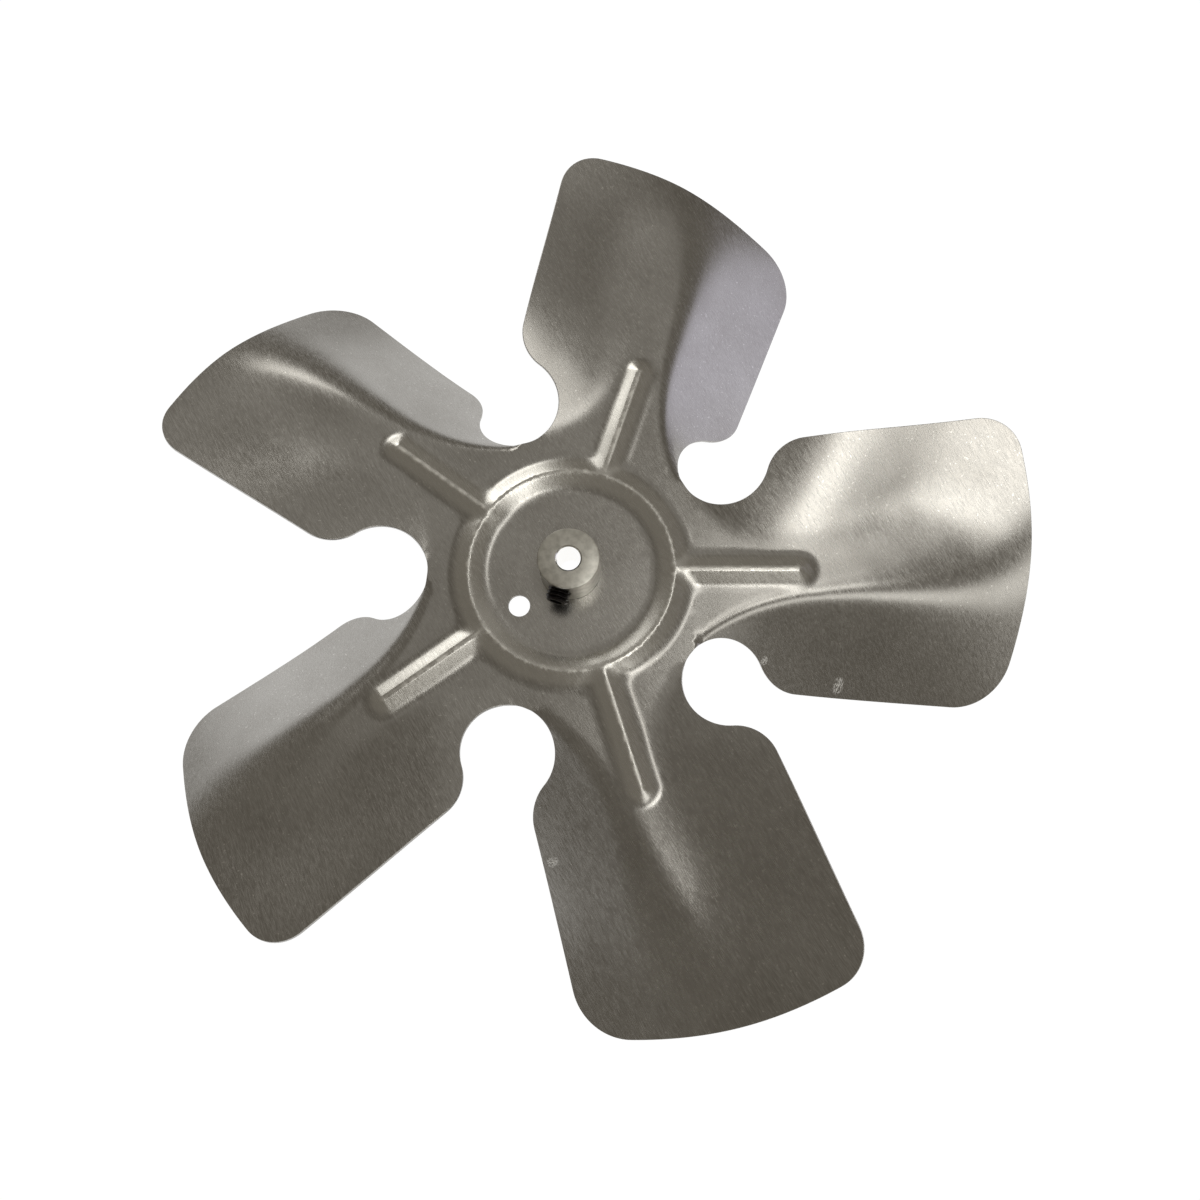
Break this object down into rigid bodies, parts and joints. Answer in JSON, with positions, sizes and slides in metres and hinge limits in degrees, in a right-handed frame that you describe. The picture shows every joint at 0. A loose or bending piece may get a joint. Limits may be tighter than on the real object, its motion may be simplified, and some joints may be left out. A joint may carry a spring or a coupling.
{
  "type": "axial fan impeller",
  "caption": "Pressed sheet-metal axial fan wheel with folded, rib-stiffened blades round a beaded centre, and a turned hub with a side set screw that grips the motor shaft.",
  "frame": {"origin": "on the shaft axis, level with the upper face of the flat centre floor that the hub stands on", "axes": "+Z along the shaft, out of the face with the hub; +X along the centre line and rib of one blade"},
  "size_m": [0.2226, 0.2289, 0.035],
  "materials": {
    "rolled_aluminium": "satin rolled mill finish",
    "turned_aluminium": "fine turned",
    "black_steel": "black oxide"
  },
  "bodies": {
    "root": {"blade_wheel": "rolled_aluminium", "hub": "turned_aluminium", "set_screw": "black_steel"}
  },
  "joints": []
}
